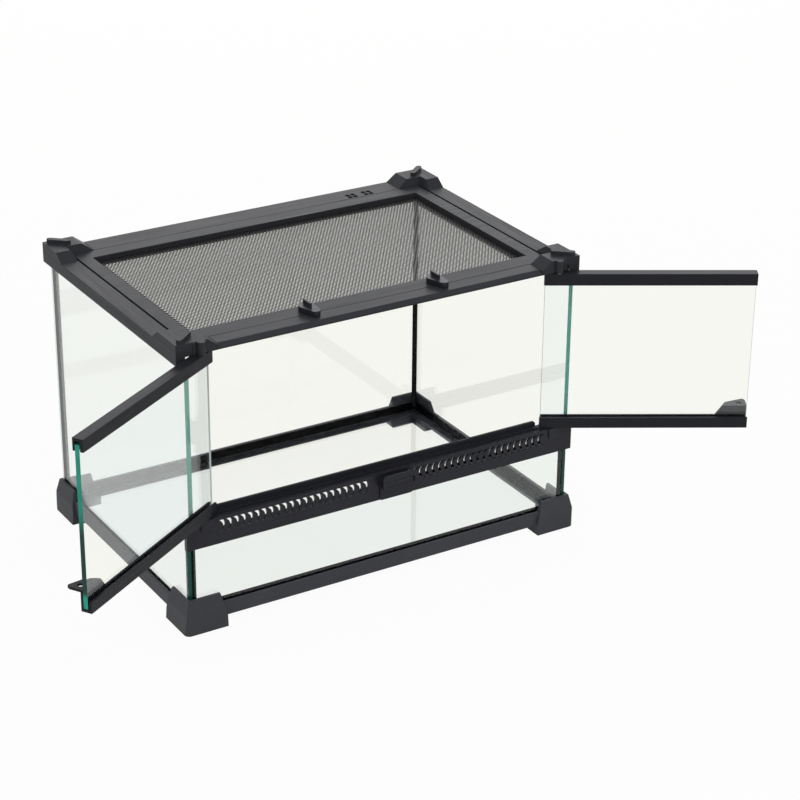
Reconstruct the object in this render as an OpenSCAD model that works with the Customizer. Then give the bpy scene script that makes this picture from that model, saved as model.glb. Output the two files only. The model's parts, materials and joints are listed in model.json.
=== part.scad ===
// Terrarium cabinet: a glass tank in a black moulded frame, with two swing doors
// over a vent bar, a lift-out screen top held by two turn clips, and a slide latch.
// X runs along the front, Y goes from the front to the back, Z is up.
// The origin is on the ground, under the middle of the frame.

/* [Cabinet] */
// Width across the top frame
body_w = 470; // [440:1:620]
// Depth across the top frame
body_d = 315; // [280:1:450]
// Height from the ground to the top of the raised corners
body_h = 317; // [290:1:450]

/* [Glass] */
// Thickness of every glass panel
glass_t = 5; // [4:0.5:6]
// Setback of the side glass from the side of the top frame
glass_side_set = 6; // [5.5:0.5:7]
// Setback of the lower front glass from the front of the top frame
glass_front_set = 0.5; // [0.4:0.1:1]
// Setback of the side glass's front edge from the front of the top frame
glass_edge_set = 2.3; // [1.5:0.1:3.5]
// Setback of the back glass from the back of the top frame
glass_back_set = 5; // [5:0.5:7]
// Width of the silicone seam between two panels
seam_t = 1; // [0.6:0.1:1.5]
// Leg of the silicone bead in an upright corner
bead_leg = 3.5; // [3:0.5:9]
// Height of the silicone bead round the floor
floor_bead_h = 9; // [2:0.5:12]
// Height of that bead along the front
floor_bead_front = 12; // [2:0.5:14]
// Width of that bead on the floor
floor_bead_w = 1.5; // [1:0.5:8]
// Free gap between a panel and the channel that holds it
glass_gap = 0.3; // [0.2:0.05:0.5]

/* [Bottom rails and feet] */
// Thickness of the upright wall of a bottom rail
rail_wall = 3; // [2:0.25:4]
// Height of a bottom rail
rail_h = 16; // [13:0.5:22]
// Width of the flange under the glass, measured from the outer face
rail_flange = 18; // [14:0.5:24]
// Thickness of the flange
flange_t = 2.5; // [2:0.25:3.5]
// Free gap between the rail wall and the glass
rail_gap = 0.5; // [0.3:0.1:0.8]
// Height of the rails above the ground
foot_lift = 10.4; // [6:0.2:16]
// Full height of a foot
foot_h = 37.5; // [32:0.5:50]
// Length of a foot along each side
foot_len = 46; // [36:1:60]
// Thickness of the foot outside the rail
foot_wall = 3; // [2:0.25:4]
// Width of each arm of the foot
foot_arm = 19; // [16:0.5:21]
// Height where the outer faces of a foot begin to lean in
foot_lean_z = 21; // [12:1:26]
// How far the outer faces lean in at the top of a foot
foot_lean = 3.6; // [1:0.2:4]
// How far the outer faces flare out from there to the ground
foot_flare = 1.4; // [0:0.2:2]
// How far the ends of a foot slope in at the top
foot_end_slope = 6; // [3:0.5:12]
// Radius of the upright corner of a foot
foot_round = 6; // [3:0.5:8]
// Gap between a foot and the rail that it wraps
foot_gap = 0.1; // [0.05:0.05:0.3]

/* [Top frame] */
// Width of the side members
side_w = 19.3; // [17:0.1:24]
// Width of the front member
front_w = 23.3; // [21:0.1:28]
// Width of the back member
back_w = 27.4; // [24:0.1:34]
// Thickness of the top skin
skin_t = 2.5; // [2:0.25:3.5]
// Thickness of the outer walls
frame_wall = 3; // [2:0.25:4]
// Depth of the outer walls below the top skin's surface
frame_drop = 13; // [11:0.5:18]
// Thickness of the front member at its front edge
front_edge_t = 4.8; // [4:0.1:6]
// Height of the bevel along the front edge
front_bevel = 2.4; // [1:0.2:3]
// Depth of the bevel along the front edge
front_bevel_d = 6; // [3:0.5:9]
// How far the raised corners stand above the members
corner_rise = 8.8; // [5:0.2:12]
// Length of a raised corner along the front and back
corner_x = 34.5; // [34:0.5:42]
// Length of a raised front corner along the side
corner_y = 40; // [34:0.5:60]
// Length of a raised back corner along the side
corner_back_y = 36; // [34:0.5:60]
// Length of the ramp at the end of a raised corner
ramp = 12; // [6:0.5:16]
// Lean of the inner walls of the raised corners
corner_draft = 3.4; // [0:0.2:4]
// Gap between the ends of two frame members
member_gap = 0.2; // [0.1:0.1:0.5]
// Distance from a door's pivot to the upright rib beside it
rib_set = 7.2; // [6.4:0.1:9]
// Radius of the upright rib
rib_r = 1.6; // [1:0.1:2]
// Distance from the right door's pivot to the square pocket beside it
pocket_set = 11.5; // [11:0.5:14]
// Width of the square pocket
pocket_w = 3.4; // [2:0.2:4]

/* [Stacking keys] */
// Length of a key
key_l = 26; // [20:1:30]
// Width of a key
key_w = 6.4; // [5:0.2:8]
// Height of a key above the raised corner
key_h = 4.2; // [2:0.2:6]
// Distance of a key's middle from the side of the frame
key_in_x = 14; // [13:0.5:20]
// Distance of a key's middle from the front or back of the frame
key_in_y = 11; // [11:0.5:16]
// Angle of a key from the front
key_angle = 40; // [30:1:50]

/* [Cable ports] */
// Number of port groups in the back member
port_count = 2; // [1:1:4]
// Distance from the side of the frame to the middle of the nearest group
port_set = 84; // [70:0.5:110]
// Distance between two groups
port_pitch = 20.5; // [16:0.5:24]
// Size of one window of a group
port_win = 4.8; // [3:0.1:5]
// Width of the bar between two windows
port_bar = 1.8; // [1.2:0.1:2.4]
// Distance from the back of the frame to the middle of the ports
port_in = 19.5; // [18.6:0.1:20.2]

/* [Screen] */
// Gap beside the screen frame at the left and right
screen_side_gap = 2.4; // [0.6:0.1:3]
// Gap at the front and back of the screen frame
screen_end_gap = 0.3; // [0.2:0.1:0.6]
// Height of the screen frame
screen_h = 7.8; // [6:0.2:10]
// Width of the screen frame at the sides
screen_side_w = 14.8; // [12:0.1:22]
// Width of the screen frame at the front
screen_front_w = 22.4; // [21:0.1:28]
// Width of the screen frame at the back
screen_back_w = 19; // [14:0.1:24]
// Width of the retainer's lip under the mesh
screen_lip = 8; // [5:0.5:10]
// Thickness of the retainer
lip_t = 1.5; // [1:0.1:2]
// Thickness of the punched sheet
mesh_t = 0.5; // [0.4:0.1:1]
// Holes in a full row of the sheet
mesh_nx = 20; // [8:1:20]
// Rows of holes in the sheet
mesh_ny = 14; // [6:1:14]
// Bar left between two holes of the sheet
mesh_bar = 4; // [2:0.5:6]
// Width of the ledge that carries the screen
ledge_w = 8; // [5:0.5:9]
// Thickness of the ledge
ledge_t = 2.5; // [2:0.25:3]

/* [Turn clips] */
// Distance from the middle to a clip's pivot
clip_x = 75; // [50:1:110]
// Distance from the front of the frame to a clip's pivot
clip_y = 31.5; // [31:0.5:34]
// Radius of the round end of a clip
clip_r = 8.2; // [7:0.2:9.5]
// Radius of the tip of a clip
clip_tip_r = 4.8; // [3:0.2:6]
// Distance from the pivot to the middle of the tip
clip_reach = 15.5; // [13:0.5:20]
// Sideways shift of the tip
clip_skew = 2; // [0:0.2:3]
// Height of the clip body
clip_t = 6; // [4:0.2:8]
// Height of the thumb fin above the clip body
fin_h = 4.2; // [2:0.2:6]
// Thickness of the thumb fin
fin_t = 2.6; // [2:0.2:4]
// Length of the thumb fin
fin_l = 14; // [8:0.5:15]
// Radius of a clip's pin
clip_pin_r = 2; // [1.5:0.1:2.5]
// Gap between a clip and the frame below
clip_gap = 0.3; // [0.2:0.1:0.5]

/* [Vent bar] */
// Height of the lower edge of the vent bar
bar_z = 94.5; // [80:0.5:130]
// Height of the vent bar's face
bar_h = 30; // [28:0.5:34]
// Thickness of the vent bar's face
bar_t = 3; // [2.5:0.25:3.5]
// Overhang of the face past the side glass
bar_over = 2.5; // [1:0.1:3]
// Thickness of the shelf along the top
shelf_t = 2.5; // [2:0.25:3.5]
// Depth of the shelf behind the front of the frame
shelf_d = 12; // [10:0.5:16]
// Height of the door stop at the back of the shelf
stop_h = 6.5; // [4:0.5:9]
// Thickness of the door stop
stop_t = 2.5; // [2:0.25:3.5]
// Depth that the glass enters the bar
bar_cup = 9; // [5:0.5:10]
// Height of the lip at the back of the cup that takes the glass
cup_lip = 1.5; // [0:0.5:3]
// Height of one vent slot
slot_h = 13; // [8:0.5:14]
// Width of one vent slot
slot_w = 2.8; // [2:0.1:3.2]
// Radius of the arc of a vent slot
slot_r = 7.5; // [7:0.5:14]
// Distance between two slots
slot_pitch = 7.87; // [6:0.01:9]
// Distance from the middle to the first slot
slot_x = 24; // [24:0.5:40]
// Plain bar between the last slot and the boss
slot_end = 8; // [3:0.5:12]
// Width of the boss that holds a door's lower pin
boss_w = 14; // [12:0.5:18]
// Height of the boss
boss_h = 12.5; // [10:0.5:18]
// Depth of the boss in front of the bar's face
boss_d = 1.6; // [1.5:0.1:3]

/* [Doors] */
// Distance from the side of the frame to a door's pivot
pivot_set = 26.5; // [26:0.1:28]
// Distance of the pivots in front of the frame
pivot_out = 1.5; // [1:0.1:2]
// Gap between the two doors when shut
door_gap = 1; // [0.8:0.1:3]
// Gap between the swing of a door's tail and the side glass
tail_gap = 0.25; // [0.2:0.05:1]
// Gap between a shut door and the step of the vent bar
step_gap = 1.9; // [0.8:0.1:2.5]
// Height of the step on the vent bar's shelf
step_h = 1.8; // [1:0.2:3]
// Distance from the pivot to the outer face of the door rails
door_out = 8.5; // [8:0.1:9]
// Distance from the pivot to the inner face of the door rails
door_in = 3.1; // [2.8:0.1:3.4]
// Thickness of the rail wall outside the glass
door_wall = 2.2; // [1.4:0.1:2.4]
// Thickness of the inner wall of the lower door rail
door_inner_wall = 2.5; // [2:0.1:3]
// Thickness of the inner wall of the upper door rail
door_upper_wall = 3.6; // [3:0.1:4.4]
// Thickness of a door rail's web
door_web = 3; // [2.5:0.25:4]
// Height of the upper door rail
door_rail_h = 13; // [10:0.5:16]
// Height of the lower door rail
door_low_h = 12; // [10:0.5:16]
// Gap above the glass in the upper door rail
door_head = 3.8; // [0.5:0.1:5]
// Gap under a door and above it
door_lift = 0.5; // [0.4:0.1:1]
// Angle that the left door stands open
left_open = 148; // [120:1:152]
// Angle that the right door stands open
right_open = 150; // [120:1:152]
// Radius of the hinge pins
pin_r = 2; // [1.5:0.1:2]
// Running gap round a pin
pin_fit = 0.05; // [0.03:0.01:0.1]
// Depth of the pins in the frame
pin_in = 7; // [5:0.5:8]
// Radius of the boss round an upper pin
hinge_boss_r = 4.3; // [4:0.1:5]
// Radius of the collar on an upper pin
collar_r = 3.2; // [3:0.1:3.6]
// Thickness of the collar on an upper pin
collar_t = 0.3; // [0.2:0.05:0.35]
// Length of the pull tab along the door
tab_l = 26.2; // [22:0.2:32]
// Length of the slope between the door rail and the pull tab
tab_slope = 7.6; // [4:0.2:12]
// Height of the pull tab's top above the underside of the door
tab_rise = 22.7; // [18:0.1:26]
// Depth of the pull tab outside the door
tab_d = 15.5; // [13:0.5:18]
// Thickness of the pull tab
tab_t = 2.7; // [2:0.1:3.5]
// Radius of the hole in the pull tab
tab_hole_r = 3.2; // [1.5:0.1:3.4]
// Distance from the door's free end to the middle of the hole
tab_hole_set = 7.8; // [7:0.1:9]

/* [Slide latch] */
// Shift of the latch from the middle
latch_x = 10; // [0:0.5:12]
// Width of the latch
latch_w = 41; // [36:1:44]
// Gap between the catch and the shut doors
catch_gap = 0.55; // [0.4:0.05:1.5]
// Height of the grip
grip_h = 16; // [14:0.5:18]
// Thickness of the catch along the top of the grip
catch_t = 2; // [1.6:0.1:2.2]
// Height of the catch above the grip's body
catch_h = 5.4; // [5.2:0.1:6]
// Travel of the latch
latch_travel = 5; // [4:0.5:5]
// Thickness of the plate on the bar's face
plate_t = 1.4; // [1:0.1:2]
// Running gap between the latch and the bar
latch_gap = 0.15; // [0.1:0.05:0.25]
// Width of a guide stem
stem_w = 4; // [3:0.5:5]
// Height of a guide stem
stem_h = 5; // [3:0.5:6]
// Distance between the two guide stems
stem_pitch = 18; // [14:1:18]
// Thickness of the keeper behind the bar
keeper_t = 1.4; // [1:0.1:2]

/* [Hidden] */
$fn = 64;
black = [0.17, 0.17, 0.18];
dark = [0.11, 0.11, 0.12];
glass_c = [0.72, 0.86, 0.82, 0.45];
steel_c = [0.75, 0.76, 0.78];
mesh_c = [0.3, 0.3, 0.31];
rubber_c = [0.06, 0.06, 0.06];
far = 2000;
seat_fit = 0.02;
eps = 0.01;

front = -body_d / 2;
back = body_d / 2;
side = body_w / 2;

// glass box
gx = side - glass_side_set;
gy0 = front + glass_front_set;
gs0 = front + glass_edge_set;
gy1 = back - glass_back_set;
gx_in = gx - glass_t;

// bottom rails
rail_z = foot_lift + foot_gap;
rail_top = rail_z + rail_h;
floor_z = rail_z + flange_t;
glass_z = floor_z + foot_gap;
rail_off = rail_gap + rail_wall;
foot_off = rail_off + foot_gap + foot_wall;

// top frame
wall_t = 1.5;
y_step = front + front_w - 4.3;
z_top = body_h;
z_rail = body_h - corner_rise;
z_drop = z_rail - frame_drop;
z_skin = z_rail - skin_t;
z_under = z_rail - front_edge_t;
glass_top = z_under - glass_gap;
channel_wall = 2.3;
corner_end = side - corner_x - ramp;

// screen
screen_z = z_rail - screen_h;
ledge_z = screen_z - 0.2 - ledge_t;
screen_x = side - side_w - screen_side_gap;
screen_y0 = front + front_w + screen_end_gap;
screen_y1 = back - back_w - screen_end_gap;
open_x = screen_x - screen_side_w;
open_y0 = screen_y0 + screen_front_w;
open_y1 = screen_y1 - screen_back_w;
mesh_z = screen_z + lip_t;
mesh_fit = 0.05;
mesh_in = 6;
clip_py = front + clip_y;

// vent bar
bar_top = bar_z + bar_h;
bar_y = front - bar_t;
cup_z = bar_z + bar_cup;
shelf_x = gx_in - 0.4;
slot_z = (bar_cup + bar_h) / 2;
pivot_x = side - pivot_set;
pivot_y = front - pivot_out;
slot_n = floor((pivot_x - boss_w / 2 - slot_end - slot_x) / slot_pitch) + 1;

// doors
door_tail = sqrt(pow(gx_in - pivot_x, 2) + pow(gs0 - pivot_y, 2)) - tail_gap;
lip_x = pivot_x - door_tail - 0.4;
door_l = pivot_x - door_gap / 2;
door_z0 = bar_top + door_lift;
door_z1 = z_under - door_lift;
door_glass_z0 = door_z0 + door_web + 0.2;
door_glass_z1 = door_z1 - door_web - door_head;
glass_v0 = -door_out + door_wall + 0.05;
glass_v1 = glass_v0 + glass_t;
glass_tail = sqrt(pow(door_tail - 0.2, 2) - pow(glass_v0, 2));

// latch
latch_d = pivot_out + door_out + catch_gap + catch_t - bar_t - latch_gap;
latch_y = bar_y - latch_gap;
grip_y = latch_y - latch_d;
grip_z1 = bar_top;
grip_z0 = grip_z1 - grip_h;
body_z1 = grip_z1 - catch_h;
stem_z0 = cup_z + shelf_t + 2;

// box between two corners
module box(a, b) {
    translate(a)
        cube([b[0] - a[0], b[1] - a[1], b[2] - a[2]]);
}

// profile in Y and Z, drawn along X from x0 to x1
module along_x(x0, x1) {
    translate([x0, 0, 0])
        rotate([90, 0, 90])
            linear_extrude(x1 - x0)
                children();
}

// profile in X and Z, drawn along Y from y0 to y1
module along_y(y0, y1) {
    translate([0, y1, 0])
        rotate([90, 0, 0])
            linear_extrude(y1 - y0)
                children();
}

// rectangle with its corners rounded by circles
module round_rect(w, h, r) {
    translate([-w / 2 + r, -h / 2])
        square([w - 2 * r, h]);
    translate([-w / 2, -h / 2 + r])
        square([w, h - 2 * r]);
    for (i = [-1, 1])
        for (j = [-1, 1])
            translate([i * (w / 2 - r), j * (h / 2 - r)])
                circle(r);
}

// ---- feet ----

// plan of a foot, with the outer corner of the glass box at the origin,
// the cabinet towards -X and +Y, and the wall set out by o
module foot_plan(o, arm) {
    straight = foot_len - foot_off + o - foot_round;
    translate([foot_off - foot_len, -o])
        square([straight, arm]);
    translate([o - arm, -o + foot_round])
        square([arm, straight]);
    translate([o - foot_round, -o + foot_round])
        circle(foot_round);
}

module foot() {
    o = foot_off;
    base = foot_off + foot_flare;
    color(black)
    difference() {
        union() {
            linear_extrude(foot_lift)
                foot_plan(base, foot_arm + foot_flare);
            linear_extrude(foot_h)
                foot_plan(base, base);
        }
        // room for the rails
        translate([0, 0, foot_lift])
            linear_extrude(rail_h + 2 * foot_gap)
                polygon([
                    [-far, -rail_off - foot_gap], [rail_off + foot_gap, -rail_off - foot_gap],
                    [rail_off + foot_gap, far], [-far, far]
                ]);
        // room for the glass above the rails
        translate([0, 0, foot_lift])
            linear_extrude(foot_h)
                polygon([
                    [-far, -glass_gap], [glass_gap, -glass_gap],
                    [glass_gap, far], [-far, far]
                ]);
        // outer faces lean in, first a little and then more
        for (face = [0, 1])
            mirror([face, face, 0])
                along_y(-far, far)
                    polygon([
                        [base, 0], [o, foot_lean_z], [o - foot_lean, foot_h],
                        [o - foot_lean, foot_h + 1], [base + 9, foot_h + 1], [base + 9, 0]
                    ]);
        // ends slope in
        along_y(-far, 0)
            polygon([
                [o - foot_len, foot_lift + 2], [o - foot_len - 9, foot_lift + 2],
                [o - foot_len - 9, foot_h + 1], [o - foot_len + foot_end_slope, foot_h + 1],
                [o - foot_len + foot_end_slope, foot_h]
            ]);
        along_x(0, far)
            polygon([
                [foot_len - o, foot_lift + 2], [foot_len - o + 9, foot_lift + 2],
                [foot_len - o + 9, foot_h + 1], [foot_len - o - foot_end_slope, foot_h + 1],
                [foot_len - o - foot_end_slope, foot_h]
            ]);
    }
}

module foot_front_right() {
    translate([gx, gy0, 0])
        foot();
}

module foot_front_left() {
    mirror([1, 0, 0])
        foot_front_right();
}

module foot_back_right() {
    translate([gx, gy1, 0])
        mirror([0, 1, 0])
            foot();
}

module foot_back_left() {
    mirror([1, 0, 0])
        foot_back_right();
}

// ---- bottom rails ----

// section of a rail with the glass face at 0 and the inside towards +
module rail_section() {
    translate([-rail_off, rail_z])
        square([rail_wall, rail_h]);
    translate([-rail_off, rail_z])
        square([rail_flange, flange_t]);
}

module rail_bottom_front() {
    color(black)
        along_x(-gx - rail_off, gx + rail_off)
            translate([gy0, 0])
                rail_section();
}

module rail_bottom_back() {
    color(black)
        along_x(-gx - rail_off, gx + rail_off)
            translate([gy1, 0])
                mirror([1, 0])
                    rail_section();
}

module rail_bottom_right() {
    color(black)
        along_y(gy0 - rail_off + rail_flange + member_gap, gy1 + rail_off - rail_flange - member_gap)
            translate([gx, 0])
                mirror([1, 0])
                    rail_section();
}

module rail_bottom_left() {
    mirror([1, 0, 0])
        rail_bottom_right();
}

// ---- glass ----

module glass_floor() {
    color(glass_c)
        box(
            [-gx_in + glass_gap, gy0 + glass_t + glass_gap, glass_z],
            [gx_in - glass_gap, gy1 - glass_t - glass_gap, glass_z + glass_t]
        );
}

module glass_right() {
    color(glass_c)
        box([gx_in, gs0, glass_z], [gx, gy1, glass_top]);
}

module glass_left() {
    mirror([1, 0, 0])
        glass_right();
}

module glass_back() {
    color(glass_c)
        box([-gx_in + seam_t, gy1 - glass_t, glass_z], [gx_in - seam_t, gy1, glass_top]);
}

module glass_front_low() {
    color(glass_c)
        box([-gx_in + seam_t, gy0, glass_z], [gx_in - seam_t, gy0 + glass_t, cup_z - glass_gap]);
}

// seam and bead in one upright corner, with the cabinet towards -X and +Y
module upright_bead(z1) {
    bead_z = glass_z + glass_t;
    translate([-seam_t, 0, glass_z])
        cube([seam_t, glass_t, z1 - glass_z]);
    translate([0, 0, bead_z])
        linear_extrude(z1 - bead_z)
            polygon([
                [0, glass_t], [0, glass_t + bead_leg],
                [-seam_t, glass_t + bead_leg], [-seam_t - bead_leg, glass_t]
            ]);
}

module silicone_beads() {
    bead_z = glass_z + glass_t;
    bead_top = bead_z + floor_bead_h;
    bead_w = floor_bead_w;
    color(rubber_c) {
        for (s = [0, 1])
            mirror([s, 0, 0]) {
                translate([gx_in, gy0, 0])
                    upright_bead(bar_z - glass_gap);
                translate([gx_in, gy1, 0])
                    mirror([0, 1, 0])
                        upright_bead(z_drop - glass_gap);
                along_y(gy0 + glass_t, gy1 - glass_t)
                    polygon([[gx_in, bead_z], [gx_in, bead_top], [gx_in - bead_w, bead_z]]);
            }
        along_x(-gx_in, gx_in)
            polygon([
                [gy0 + glass_t, bead_z], [gy0 + glass_t, bead_z + floor_bead_front],
                [gy0 + glass_t + bead_w, bead_z]
            ]);
        along_x(-gx_in, gx_in)
            polygon([
                [gy1 - glass_t, bead_z], [gy1 - glass_t, bead_top],
                [gy1 - glass_t - bead_w, bead_z]
            ]);
    }
}

// ---- vent bar ----

// one curved slot, bulging towards +X
module slot() {
    translate([-slot_r, 0])
        intersection() {
            difference() {
                circle(slot_r + slot_w / 2);
                circle(slot_r - slot_w / 2);
            }
            translate([0, -slot_h / 2])
                square([2 * slot_r, slot_h]);
        }
}

module vent_bar() {
    end_x = gx + bar_over;
    stop_r = 3;
    boss_r = 3;
    stop_z1 = bar_top + stop_h;
    stop_y = front + shelf_d - stop_t;
    step_y = pivot_y + door_in + step_gap;
    color(dark)
    difference() {
        union() {
            // face
            box([-end_x, bar_y, bar_z], [end_x, front, bar_top]);
            // returns in front of the side glass
            for (s = [0, 1])
                mirror([s, 0, 0])
                    box([gx_in + 0.2, front - eps, bar_z], [end_x, gs0 - glass_gap, bar_top]);
            // cup over the lower glass
            box([-shelf_x, front - eps, cup_z], [shelf_x, gy0 + glass_t + glass_gap + 2, cup_z + shelf_t]);
            box(
                [-shelf_x, gy0 + glass_t + glass_gap, bar_z],
                [shelf_x, gy0 + glass_t + glass_gap + 2, cup_z + shelf_t + cup_lip]
            );
            // shelf
            box([-shelf_x, bar_y, bar_top - shelf_t], [shelf_x, front + shelf_d, bar_top]);
            // step and door stop, clear of the door tails
            box([-lip_x, step_y, bar_top - eps], [lip_x, front + shelf_d - stop_t + eps, bar_top + step_h]);
            along_y(stop_y, front + shelf_d) {
                translate([-lip_x, bar_top - 1])
                    square([2 * lip_x, stop_h + 1 - stop_r]);
                translate([-lip_x + stop_r, bar_top - 1])
                    square([2 * lip_x - 2 * stop_r, stop_h + 1]);
                for (s = [-1, 1])
                    translate([s * (lip_x - stop_r), stop_z1 - stop_r])
                        circle(stop_r);
            }
            // bosses for the lower hinge pins
            for (s = [-1, 1]) {
                along_y(bar_y - boss_d, bar_y + eps)
                    translate([s * pivot_x, 0]) {
                        translate([-boss_w / 2, bar_top - boss_h + boss_r])
                            square([boss_w, boss_h - boss_r]);
                        translate([0, bar_top - boss_h + boss_r])
                            round_rect(boss_w, 2 * boss_r, boss_r - 0.1);
                    }
                box(
                    [s * pivot_x - boss_w / 2, front - eps, bar_top - pin_in - 2],
                    [s * pivot_x + boss_w / 2, front + 4, bar_top]
                );
            }
        }
        // curved vent slots
        for (s = [0, 1])
            mirror([s, 0, 0])
                for (i = [0 : slot_n - 1])
                    along_y(bar_y - 1, front + 1)
                        translate([-slot_x - i * slot_pitch, bar_z + slot_z])
                            slot();
        // guide slots for the latch
        for (s = [-1, 1])
            translate([latch_x + s * stem_pitch / 2, 0, 0])
                box(
                    [-stem_w / 2 - latch_gap, bar_y - 1, stem_z0 - latch_gap],
                    [stem_w / 2 + latch_gap, front + 1, stem_z0 + stem_h + latch_travel + latch_gap]
                );
        // bores for the lower hinge pins
        for (s = [-1, 1])
            translate([s * pivot_x, pivot_y, bar_top - pin_in])
                cylinder(h = pin_in + 1, r = pin_r + pin_fit);
    }
}

// ---- top frame ----

// rise of a raised corner: profile of its height along one side
module corner_rise_x() {
    polygon([
        [side - corner_x - ramp, z_drop - 1], [side + 1, z_drop - 1], [side + 1, z_top],
        [side - corner_x, z_top], [side - corner_x - ramp, z_rail]
    ]);
}

module corner_rise_y(l) {
    polygon([
        [front - 1, z_drop - 1], [front + l + ramp, z_drop - 1],
        [front + l + ramp, z_rail], [front + l, z_top], [front - 1, z_top]
    ]);
}

// one stacking key, its middle over the origin
module stack_key() {
    linear_extrude(key_h)
        round_rect(key_l, key_w, key_w / 2 - eps);
}

// raised front corner at the right
module front_corner() {
    intersection() {
        along_y(front, back)
            polygon([
                [side - side_w, z_skin], [side, z_skin], [side, z_top],
                [side - side_w + corner_draft, z_top], [side - side_w, z_rail]
            ]);
        along_x(0, side)
            corner_rise_y(corner_y);
    }
    intersection() {
        along_x(0, side)
            polygon([
                [front, z_under], [front + front_w, z_under], [front + front_w, z_rail],
                [front + front_w - 1, z_top], [front, z_top]
            ]);
        along_y(front, back)
            corner_rise_x();
    }
    translate([pivot_x, pivot_y, z_under])
        cylinder(h = z_top - z_under, r = hinge_boss_r);
    translate([pivot_x + rib_set, front - 0.1, z_under])
        cylinder(h = z_top - 0.6 - z_under, r = rib_r);
    // wall in front of the side glass, outside the sweep of the door's tail
    box([gx_in + 1, front, z_drop], [side, gs0 - glass_gap, z_under + eps]);
}

// raised back corner at the right
module back_corner() {
    intersection() {
        along_y(front, back)
            polygon([
                [side - side_w, z_skin], [side, z_skin], [side, z_top],
                [side - side_w + corner_draft, z_top], [side - side_w, z_rail]
            ]);
        along_x(0, side)
            mirror([1, 0])
                corner_rise_y(corner_back_y);
    }
    intersection() {
        along_x(0, side)
            polygon([
                [back, z_skin], [back - back_w, z_skin], [back - back_w, z_rail],
                [back - back_w + corner_draft, z_top], [back, z_top]
            ]);
        along_y(front, back)
            corner_rise_x();
    }
}

// side member with its two raised corners, at the right
module side_member() {
    ledge_x0 = side - side_w - ledge_w;
    wall_x1 = gx_in - glass_gap;
    rear_y = back - back_w;
    color(black)
    difference() {
        union() {
            // skin and outer wall
            box([side - side_w, front, z_skin], [side, back, z_rail]);
            box([side - frame_wall, front, z_drop], [side, back, z_rail]);
            box([gx + glass_gap, front + 3, z_drop], [side, back, z_drop + skin_t]);
            // back wall of the corner
            box([corner_end, back - frame_wall, z_drop], [side, back, z_rail]);
            box([corner_end, gy1 + glass_gap, z_drop], [side, back, z_drop + skin_t]);
            // inner wall of the glass channel, behind the sweep of the door
            box([wall_x1 - channel_wall, y_step, ledge_z], [wall_x1, gy1 - glass_t - bead_leg, z_rail - 1]);
            // ledge for the screen
            box([ledge_x0, y_step, ledge_z], [wall_x1, rear_y + wall_t, ledge_z + ledge_t]);
            box([corner_end, y_step, ledge_z], [wall_x1, front + front_w, z_rail - 1]);
            box([corner_end, y_step, ledge_z], [wall_x1, front + front_w + ledge_w, ledge_z + ledge_t]);
            box([corner_end, rear_y, ledge_z], [wall_x1, rear_y + wall_t, z_rail - 1]);
            box([corner_end, rear_y - ledge_w, ledge_z], [wall_x1, rear_y + wall_t, ledge_z + ledge_t]);
            front_corner();
            back_corner();
            for (e = [0, 1])
                mirror([0, e, 0])
                    translate([side - key_in_x, front + key_in_y, z_top - eps])
                        rotate([0, 0, -key_angle])
                            stack_key();
        }
        // channel for the side glass under the front corner
        box([gx_in - glass_gap, gs0 - glass_gap, z_drop - 1], [gx + glass_gap, gy1 + glass_gap, z_under]);
        // bore for the upper hinge pin
        translate([pivot_x, pivot_y, z_under - 1])
            cylinder(h = pin_in + 1, r = pin_r + pin_fit);
    }
}

module frame_top_right() {
    pocket_d = 1.5;
    pocket_z = z_under + 1.7;
    difference() {
        side_member();
        translate([pivot_x + pocket_set - pocket_w / 2, front - 1, pocket_z])
            cube([pocket_w, pocket_d + 1, pocket_w + 0.6]);
    }
}

module frame_top_left() {
    mirror([1, 0, 0])
        side_member();
}

module frame_top_front() {
    x1 = corner_end - member_gap;
    color(black)
        along_x(-x1, x1)
            polygon([
                [front, z_under], [front, z_rail - front_bevel - 0.8],
                [front + 0.8, z_rail - front_bevel], [front + front_bevel_d, z_rail],
                [front + front_w, z_rail], [front + front_w, ledge_z + ledge_t],
                [front + front_w + ledge_w, ledge_z + ledge_t],
                [front + front_w + ledge_w, ledge_z], [y_step, ledge_z], [y_step, z_under]
            ]);
}

module frame_top_back() {
    x1 = corner_end - member_gap;
    rear_y = back - back_w;
    wall_y0 = gy1 - glass_t - glass_gap;
    w2 = 2 * port_win + port_bar;
    color(black)
    difference() {
        along_x(-x1, x1)
            polygon([
                [rear_y, z_rail], [back, z_rail], [back, z_drop], [gy1 + glass_gap, z_drop],
                [gy1 + glass_gap, z_drop + skin_t], [back - frame_wall, z_drop + skin_t],
                [back - frame_wall, z_skin], [wall_y0, z_skin], [wall_y0, ledge_z],
                [wall_y0 - channel_wall, ledge_z], [wall_y0 - channel_wall, z_skin],
                [rear_y + wall_t, z_skin], [rear_y + wall_t, ledge_z],
                [rear_y - ledge_w, ledge_z], [rear_y - ledge_w, ledge_z + ledge_t],
                [rear_y, ledge_z + ledge_t]
            ]);
        // cable ports: four windows in each group
        for (g = [0 : port_count - 1])
            for (i = [0, 1])
                for (j = [0, 1])
                    translate([
                        side - port_set - g * port_pitch - w2 / 2 + i * (port_win + port_bar),
                        back - port_in - w2 / 2 + j * (port_win + port_bar), z_skin - 1
                    ])
                        cube([port_win, port_win, skin_t + 2]);
    }
}

// ---- screen ----

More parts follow.
